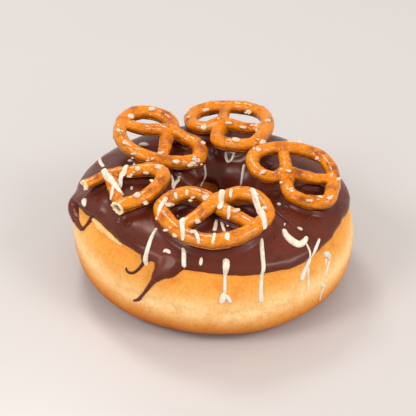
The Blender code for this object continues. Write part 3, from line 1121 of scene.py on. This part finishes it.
@dataclass(frozen=True)
class TrailLayer:
    """Strokes laid on the doughnut, all in one mesh."""

    glaze: Glaze
    spacing: float = 0.45
    around: int = 16
    sunk: float = 0.35

    def surface(self, canvas: Canvas, place: Array, rise: Array, bare: bool = False) -> Array:
        """Points that stand off the surface by rise, for places on a canvas."""
        if canvas is Canvas.RING:
            azimuth, section = np.radians(place[..., 0]), np.radians(place[..., 1])
            base = 0.0 if bare else np.maximum(self.glaze.grow(azimuth, section), 0.0)
            return RING.point(azimuth, section, base + rise)
        shape = place.shape[:-1]
        plan = place.reshape(-1, 2)
        return np.stack([*plan.T, self.top(plan) + rise.ravel()], axis=-1).reshape(*shape, 3)

    def top(self, plan: Array) -> Array:
        """Height of whatever lies uppermost at plan places."""
        azimuth, section, inside = RING.over(plan)
        grown = np.maximum(self.glaze.grow(azimuth, section), 0.0)
        ring = np.where(inside, RING.point(azimuth, section, grown)[..., 2], 8.0)
        return np.maximum(ring, self.glaze.ropes.skin(plan, 1)[0])

    def path(self, trail: Trail) -> tuple[Array, Array]:
        """Even places along a trail, and millimetres to one unit of its two axes."""
        knots = np.array(trail.knots, float)
        if trail.canvas is Canvas.TOP:
            return smooth_path(knots, self.spacing), np.ones(2)
        middle = knots.mean(axis=0)
        at = RING.even_point(*np.radians(middle))
        per_azimuth = math.radians(1) * float(np.hypot(at[0], at[1]))
        ahead = RING.arc(np.radians(middle[1] + np.array([-2.0, 2.0])))
        scale = np.array([per_azimuth, float(np.diff(ahead)[0]) / 4])
        return smooth_path(knots * scale, self.spacing) / scale, scale

    def stroke(self, trail: Trail) -> Array:
        """Outlines across one stroke: a low dome above the surface and a keel below.

        The half width tapers to each end as a quarter circle, and a stroke that
        passes from a rope to the glaze falls no steeper than about 60 degrees.
        """
        path, scale = self.path(trail)
        share = np.linspace(0, 1, len(path))
        half = 0.45 * np.interp(share, np.linspace(0, 1, len(trail.widths)), trail.widths)
        walked = share * (len(path) - 1) * self.spacing
        to_end = np.clip(np.minimum(walked, walked[-1] - walked) / np.maximum(half, 0.3), 0.0, 1)
        half = half * np.sqrt(1 - (1 - to_end) ** 2) + 0.02
        along = unit(np.gradient(path * scale, axis=0))
        side = np.column_stack([-along[:, 1], along[:, 0]]) / scale
        turn = np.linspace(0, 2 * math.pi, self.around, endpoint=False)
        place = path[:, None] + np.cos(turn)[None, :, None] * half[:, None, None] * side[:, None]
        dome = np.sin(turn)[None] * (half * 2 * trail.height)[:, None]
        rise = np.where(np.sin(turn)[None] > 0, dome, np.sin(turn)[None] * self.sunk)
        points = self.surface(trail.canvas, place, rise, trail.bare)
        if trail.canvas is Canvas.TOP:
            flat = np.zeros(len(path))
            centre = self.surface(trail.canvas, path, flat)[:, 2]
            gaps = np.abs(walked[:, None] - walked[None])
            draped = (centre[None] - 1.7 * gaps).max(axis=1)
            bell = np.exp(-((gaps / 0.9) ** 2))
            draped = bell @ draped / bell.sum(axis=1)
            limited = np.clip(points[..., 2] - rise, draped[:, None] - 0.9, draped[:, None] + 0.25)
            points[..., 2] = limited + rise
        return points

    def build(
        self, name: str, trails: tuple[Trail, ...], finish: Finish, slot: str
    ) -> bpy.types.Object:
        """All the strokes as one piece."""
        points, faces, first = [], [], 0
        for trail in trails:
            rings = self.stroke(trail)
            ends = rings[[0, -1]].mean(axis=1)
            faces += tube_faces(rings.shape[0], rings.shape[1], first)
            points += [rings.reshape(-1, 3), ends]
            first += rings.shape[0] * rings.shape[1] + 2
        return add_piece(name, mesh_from(name, np.vstack(points), faces), finish)


def on_ring(*knots: tuple[float, float], wide: tuple[float, ...], high: float = 0.34) -> Trail:
    """A stroke on the ring's own surface."""
    return Trail(Canvas.RING, knots, wide, high)


def on_dough(*knots: tuple[float, float], wide: tuple[float, ...], high: float = 0.5) -> Trail:
    """A stroke that comes out from under the glaze's edge onto the bare dough."""
    return Trail(Canvas.RING, knots, wide, high, bare=True)


def on_top(*knots: tuple[float, float], wide: tuple[float, ...], high: float = 0.3) -> Trail:
    """A stroke over the pretzels and the glaze between them."""
    return Trail(Canvas.TOP, knots, wide, high)


WHITE_TRAILS: tuple[Trail, ...] = (
    # Down the front of the ring.
    on_ring((294.5, 17), (292, 32), (290, 52), (288.5, 72), (288.5, 86),
        wide=(1.5, 1.7, 1.4, 1.3, 1.7)),
    on_ring((275.6, 35), (275.4, 41), (275, 48), (274.6, 60), (274.4, 73),
        wide=(2.6, 2.4, 1.0, 1.1, 1.2)),
    on_ring((274.4, 71), (273.5, 79), (273.2, 84), wide=(1.3, 2.5, 1.6)),
    on_ring((274.4, 73), (275.8, 78), (276.8, 83), wide=(1.0, 1.5, 1.1)),
    on_ring((255.5, 25), (257, 36), (258, 48), wide=(1.3, 1.6, 1.4)),
    on_ring((264.7, 35), (264.8, 38), (264.6, 44), wide=(0.9, 1.2, 0.9)),
    # At the right.
    on_ring((308.4, 15.5), (307, 22), (307.3, 30), (309.2, 37.2), (312.2, 37.4), (315.2, 34),
        wide=(1.4, 2.4, 2.8, 2.7, 2.1, 1.2)),
    on_ring((310.4, 11.4), (311, 12.6), wide=(1.2, 1.2)),
    on_ring((312.6, 39), (312, 48), (311, 59), (309.5, 73), (309, 89),
        wide=(0.7, 0.8, 0.9, 0.8, 0.9)),
    on_ring((320, 43), (315, 50), (311.4, 59), (308, 67), (306, 76),
        wide=(0.8, 1.2, 1.5, 1.9, 1.6)),
    on_ring((319.6, 60), (322, 65), (322.2, 72), wide=(1.8, 2.4, 1.6)),
    on_ring((322, 71), (320, 78), (318, 85), wide=(1.1, 1.0, 0.8)),
    on_ring((320.5, 67), (319, 74), wide=(1.0, 0.9)),
    on_ring((316, 89), (318, 92), (317, 96), (316.5, 101), (317, 108),
        wide=(0.8, 0.9, 1.1, 0.9, 0.8)),
    # At the left.
    on_ring((238, 15), (238.7, 27), (240, 40), (240.5, 56), wide=(1.2, 1.4, 1.4, 1.3)),
    on_ring((247.2, 37.2), (248, 34.7), (249.7, 35), (250.7, 37), wide=(0.9, 1.3, 1.3, 0.9)),
    on_ring((188.7, 43), (191.5, 44.5), (194, 45.6), wide=(1.3, 1.9, 0.9)),
    on_ring((153, 45), (158, 38), (164, 29), wide=(1.2, 1.3, 1.2)),
    on_ring((158, 6), (160, 6.4), wide=(1.6, 1.7)),
    on_ring((138, 17), (136, 13), (134.4, 9), wide=(1.4, 2.1, 1.6)),
    # Inside the hole and round it.
    on_ring((102.5, -32), (105, -48), (117, -58), wide=(0.9, 0.9, 0.8)),
    on_ring((48, -33), (41.6, -46), (37, -57), wide=(0.9, 0.9, 0.8)),
    on_ring((76, -20.5), (73.7, -28.5), (69.4, -34), (66.3, -31), (67.8, -19),
        wide=(0.9, 1.1, 1.2, 1.1, 0.8)),
    on_ring((147, -32), (171.5, -33.5), (202, -26), wide=(0.9, 1.1, 1.0)),
    on_ring((167, -26), (183, -28), (202, -26), wide=(0.8, 0.9, 0.8)),
    on_ring((273.7, -11), (271.8, -1), (270.6, 6), wide=(1.1, 1.3, 1.3)),
    on_ring((275.7, -10), (276, -0.5), (276.5, 7), wide=(1.0, 1.1, 1.0)),
    on_ring((280.7, -3.6), (279, 2), wide=(1.0, 0.9)),
    on_ring((195, 3), (191, 2), wide=(1.0, 0.9)),
    on_ring((242.4, -2), (243, -2.6), wide=(0.9, 0.9)),
    on_ring((45, 20.6), (45, 33), wide=(1.1, 1.2)),
    # Over the front pretzel.
    on_top((-14.8, -20), (-16.4, -23.9), (-17.3, -27), (-18, -28.5), wide=(1.3, 1.5, 1.5, 1.3)),
    on_top((-12.1, -17.8), (-11.8, -19.4), wide=(1.2, 1.1)),
    on_top((-8.3, -16.5), (-8.6, -17.8), wide=(1.1, 1.0)),
    on_top((-9.5, -29.7), (-9.7, -33.2), (-9.5, -36.3), (-9.3, -38.6), wide=(2.4, 2.0, 1.6, 1.3)),
    on_top((3.1, -17.6), (2.6, -21.7), (2.2, -24.8), (1.8, -26.5), wide=(2.3, 2.1, 2.0, 1.9)),
    on_top((5.9, -16.7), (5.4, -20), wide=(1.2, 1.1)),
    on_top((5.1, -24.8), (4.8, -28.9), wide=(1.1, 1.1)),
    on_top((12.3, -16.9), (13.3, -20.3), (14.5, -25.3), (15.4, -30.4), (15.9, -32.7),
        (15.6, -34.5), wide=(1.7, 2.1, 2.0, 2.2, 2.3, 1.7)),
    on_top((4.4, -38.4), (4.1, -41.2), wide=(1.9, 1.7)),
    on_top((0.5, -37.6), (0.1, -40.4), (-0.4, -41.4), wide=(1.0, 1.1, 1.0)),
    on_top((-6.1, -36.4), (-4.9, -39.2), (-4.3, -40.7), wide=(1.0, 1.2, 1.0)),
    # Over the broken one.
    on_top((-36.4, -0.9), (-35.6, -3.3), (-33.7, -6.7), (-31.5, -11.2), (-29.3, -14.5),
        wide=(2.2, 2.4, 2.4, 2.4, 2.0)),
    on_top((-28.5, 0.2), (-29.3, -3), (-30.3, -4.2), (-30.6, -9.9), wide=(1.5, 1.7, 1.6, 1.4)),
    on_top((-32.5, -11.1), (-32.8, -14.1), (-32.9, -16.3), wide=(1.2, 1.3, 1.1)),
    on_top((-26.6, 0.2), (-25.8, 0.3), wide=(2.0, 2.0)),
)  # fmt: skip

CHOCOLATE_THREADS: tuple[Trail, ...] = (
    # A hook and a long run, both curled at the tip.
    on_dough((239.4, 46), (239.1, 54), (237.8, 62), (235.9, 67.8), (233.9, 70), (232.3, 68.8),
        (231.8, 65.5), wide=(2.2, 1.5, 1.2, 1.1, 1.0, 1.0, 0.8)),
    on_dough((247.0, 60), (245.3, 69), (243.6, 77), (241.8, 84.5), (239.8, 90), (237.6, 92.9),
        (236.2, 94.2), wide=(2.8, 2.3, 1.8, 1.4, 1.1, 0.9, 0.7)),
    # Two strands that meet in a point at the left.
    on_dough((185, 69), (189.5, 69.4), (194, 68.6), (198.3, 66.4), wide=(3.8, 3.0, 2.2, 1.7)),
    on_dough((199.5, 44), (199.6, 50), (199.6, 58), (198.3, 66.8), wide=(3.0, 1.6, 1.2, 1.5)),
    # Threads that fell across the coat.
    on_ring((317.5, -7), (314.4, 3), (314, 12), (314.5, 23.9), (314.2, 27.4),
        wide=(1.1, 1.3, 1.2, 1.3, 1.0)),
    on_ring((314.3, 12), (319.1, 10.3), (324.6, 9.2), wide=(1.0, 1.0, 0.8)),
    on_ring((314.6, 24), (319.9, 21.5), (324.5, 19.7), (330.8, 18.4), wide=(1.0, 1.0, 1.0, 0.8)),
    on_ring((302.5, 18.7), (300.4, 24.2), wide=(0.9, 0.8)),
    on_ring((222, 22), (223, 25), (222.5, 28), wide=(1.5, 1.8, 1.4)),
)  # fmt: skip

TORN_LIP: tuple[Trail, ...] = (
    on_dough((198, 49), (201, 47.2), (205, 46.2), (210, 45.6), (216, 45.4), (221, 46), (226, 46),
        wide=(1.0, 1.7, 2.2, 1.7, 2.0, 1.3, 0.8), high=0.42),
    on_dough((204, 48.6), (208, 48.2), (213, 47.6), wide=(0.9, 1.4, 0.8), high=0.5),
)  # fmt: skip


# ---------------------------------------------------------------- salt


@dataclass(frozen=True)
class SaltScatter:
    """Coarse flakes of salt, each a small bent superquadric of 30 faces."""

    layer: TrailLayer
    seed: int = 61
    paired: float = 0.6  # share of the flakes with a smaller one beside them
    # Plan places in millimetres of the flakes on each pretzel.
    flakes: Knots = (
        (-14.6, -22.6), (-13.7, -21.6), (-6.5, -18), (-2.2, -20.1), (-4.9, -30.3), (-6.3, -37.3),
        (-11.9, -36.2), (-14.6, -33.5), (-0.2, -41.3), (7.3, -27.4), (14.2, -20.2), (16.1, -26.8),
        (-24.7, -2.6), (-27, -3.5), (-22.1, -3.6), (-19.8, -10.7), (-24.3, -18.6), (-22, -19.6),
        (-18, -3.5),
        (-7.6, 3.7), (-5.3, 5.6), (-32.3, 16.8), (-29.6, 9.9), (-21.4, 33.6), (-15.1, 33.9),
        (-28.8, 27.6),
        (-12.3, 3.1), (-3.4, 15.7), (-21.7, 3.2), (-17.7, 6.3), (-26.4, 5.6), (-6.6, 4.4),
        (-6.2, 5.4),
        (-3.1, 25.1), (-8.4, 32.6), (-2.4, 40.3), (7.9, 12.4), (5.6, 25), (13.2, 37.1),
        (19.2, 25.6),
        (16.7, 12.6), (10.5, 23.8), (15.3, 22.5),
        (15.1, 4.8), (29.4, 10.6), (34.8, 3.5), (16.4, -6.5), (30.8, -19.5), (25.2, -14.7),
        (34.4, -18),
        (40.9, -8.2), (24.6, -7.3), (37.3, -18.1), (22.2, -10.8),
    )  # fmt: skip
    # Azimuth, section angle and size of the flakes that fell on the glaze.
    fallen: Knots = ((327.6, 6.4, 2.6), (323.9, -6.3, 1.6), (314.9, 23.7, 2.2), (234.4, -3.3, 1.2))

    def template(self) -> tuple[Array, list[Array]]:
        """One flake of unit size: rings of a boxy ellipsoid, closed at both ends."""
        turn = np.linspace(0, 2 * math.pi, 7, endpoint=False)
        level = np.radians([-58.0, -18.0, 22.0, 60.0])
        power = 0.6
        ring = np.column_stack(
            [np.sign(np.cos(turn)) * np.abs(np.cos(turn)) ** power,
             np.sign(np.sin(turn)) * np.abs(np.sin(turn)) ** power]
        )  # fmt: skip
        rows = [
            np.column_stack([ring * math.cos(a) ** power, np.full(7, math.sin(a))]) for a in level
        ]
        points = np.vstack([*rows, [[0.0, 0.0, -1.0], [0.0, 0.0, 1.0]]])
        return points, tube_faces(len(level), 7)

    def build(self) -> bpy.types.Object:
        """Every flake turned, stretched and roughened at random, and laid flat."""
        chance = np.random.default_rng(self.seed)
        lone = np.array(self.flakes)
        bearing = chance.uniform(0, 2 * math.pi, len(lone))
        away = chance.uniform(0.9, 1.7, len(lone))
        beside = lone + np.column_stack([np.cos(bearing), np.sin(bearing)]) * away[:, None]
        plan = np.vstack([lone, beside[chance.uniform(size=len(lone)) < self.paired]])
        on_rope = self.layer.surface(Canvas.TOP, plan, np.full(len(plan), 0.05))
        fallen = np.array(self.fallen)
        on_glaze = self.layer.surface(Canvas.RING, fallen[:, :2], np.full(len(fallen), 0.3))
        places = np.vstack([on_rope, on_glaze])
        widths = chance.uniform(0.8, 1.7, len(plan))
        widths[: len(lone)] = chance.uniform(1.4, 3.0, len(lone))
        sizes = np.concatenate([widths, fallen[:, 2]]) / 2
        count = len(places)
        template, faces = self.template()
        shape = np.repeat(template[None], count, axis=0)
        shape = shape * (1 + 0.2 * chance.uniform(-1, 1, shape.shape))
        stretch = np.column_stack(
            [np.ones(count), chance.uniform(0.6, 0.95, count), chance.uniform(0.26, 0.42, count)]
        )
        shape = shape * stretch[:, None] * sizes[:, None, None]
        turn, tip = chance.uniform(0, 2 * math.pi, count), chance.uniform(-0.35, 0.35, count)
        x, y, z = np.moveaxis(shape, -1, 0)
        y, z = swung(y, z, tip[:, None])
        x, y = swung(x, y, turn[:, None])
        points = np.stack([x, y, z], axis=-1) + places[:, None]
        offset = np.arange(count) * len(template)
        blocks = [
            (block[None] + offset[:, None, None]).reshape(-1, block.shape[1]) for block in faces
        ]
        mesh = mesh_from("salt_flakes", points.reshape(-1, 3), blocks)
        return add_piece("salt_flakes", mesh, SALT)


# ---------------------------------------------------------------- studio


@dataclass(frozen=True)
class Studio:
    """A pale table, soft light from all round, and the camera."""

    elevation: float = 34.0
    distance: float = 450.0
    lens: float = 114.1
    target: tuple[float, float, float] = (-1.64, 2.29, 21.4)
    table_width: float = 6.0
    # Lamps: place in millimetres, width in metres, watts, colour.
    lamps: tuple[tuple[tuple[float, float, float], float, float, str], ...] = (
        ((-560.0, -330.0, 640.0), 0.34, 3.0, "fffaf4"),
        ((600.0, -340.0, 580.0), 0.34, 2.8, "fff8f0"),
        ((-160.0, 380.0, 640.0), 0.2, 1.8, "fffaf4"),
        ((-620.0, -540.0, 200.0), 0.6, 0.9, "fff6ec"),
        ((620.0, -540.0, 200.0), 0.6, 1.3, "fff6ec"),
    )
    sky: float = 0.72
    sky_colour: str = "fffaf6"

    def table(self) -> None:
        """The floor that the doughnut stands on."""
        half = self.table_width / 2
        mesh = bpy.data.meshes.new("table_top")
        corners = [(-half, -half, 0), (half, -half, 0), (half, half, 0), (-half, half, 0)]
        mesh.from_pydata(corners, [], [(0, 1, 2, 3)])
        mesh.materials.append(TABLE.material())
        table = bpy.data.objects.new("table_top", mesh)
        bpy.context.scene.collection.objects.link(table)

    def light(self) -> None:
        """Even light from a pale sky, and five soft lamps."""
        world = bpy.data.worlds.new("studio_sky")
        world.use_nodes = True
        background = world.node_tree.nodes["Background"]
        background.inputs["Color"].default_value = linear(self.sky_colour)
        background.inputs["Strength"].default_value = self.sky
        bpy.context.scene.world = world
        aim = Vector((0.0, 0.0, 0.02))
        for number, (place, width, power, colour) in enumerate(self.lamps):
            lamp = bpy.data.lights.new(f"lamp_{number}", "AREA")
            lamp.shape = "DISK"
            lamp.size = width
            lamp.energy = power
            lamp.color = linear(colour)[:3]
            holder = bpy.data.objects.new(f"lamp_{number}", lamp)
            holder.location = Vector(place) * MM
            holder.rotation_euler = (aim - holder.location).to_track_quat("-Z", "Y").to_euler()
            bpy.context.scene.collection.objects.link(holder)

    def camera(self) -> None:
        """A long lens that looks down at the doughnut."""
        camera = bpy.data.objects.new("camera", bpy.data.cameras.new("camera"))
        camera.data.lens = self.lens
        camera.data.sensor_width = 36.0
        camera.data.clip_start = 0.01
        camera.data.clip_end = 20.0
        rise = math.radians(self.elevation)
        away = Vector((0.0, -math.cos(rise), math.sin(rise)))
        target = Vector((np.array(self.target) + RING_CENTRE) * MM)
        camera.location = target + away * self.distance * MM
        camera.rotation_euler = (-away).to_track_quat("-Z", "Y").to_euler()
        bpy.context.scene.collection.objects.link(camera)
        bpy.context.scene.camera = camera

    def build(self) -> None:
        """Set up the whole studio."""
        self.table()
        self.light()
        self.camera()
        bpy.context.scene.view_settings.view_transform = "Standard"


def main() -> None:
    """Build the doughnut from the dough outwards, then the studio."""
    logging.basicConfig(level=logging.INFO, format="%(message)s")
    for pretzel in PRETZELS:
        pretzel.settle()
    glaze = Glaze(Ropes.of(PRETZELS))
    trails = TrailLayer(glaze)
    Dough().build()
    glaze.build()
    for pretzel in PRETZELS:
        pretzel.build()
    trails.build("white_icing_drizzle", WHITE_TRAILS, WHITE_ICING, "white_icing")
    trails.build("chocolate_threads", CHOCOLATE_THREADS, CHOCOLATE, "chocolate")
    trails.build("torn_dough_lip", TORN_LIP, TORN_DOUGH, "dough")
    SaltScatter(trails).build()
    Studio().build()


if __name__ == "__main__":
    main()
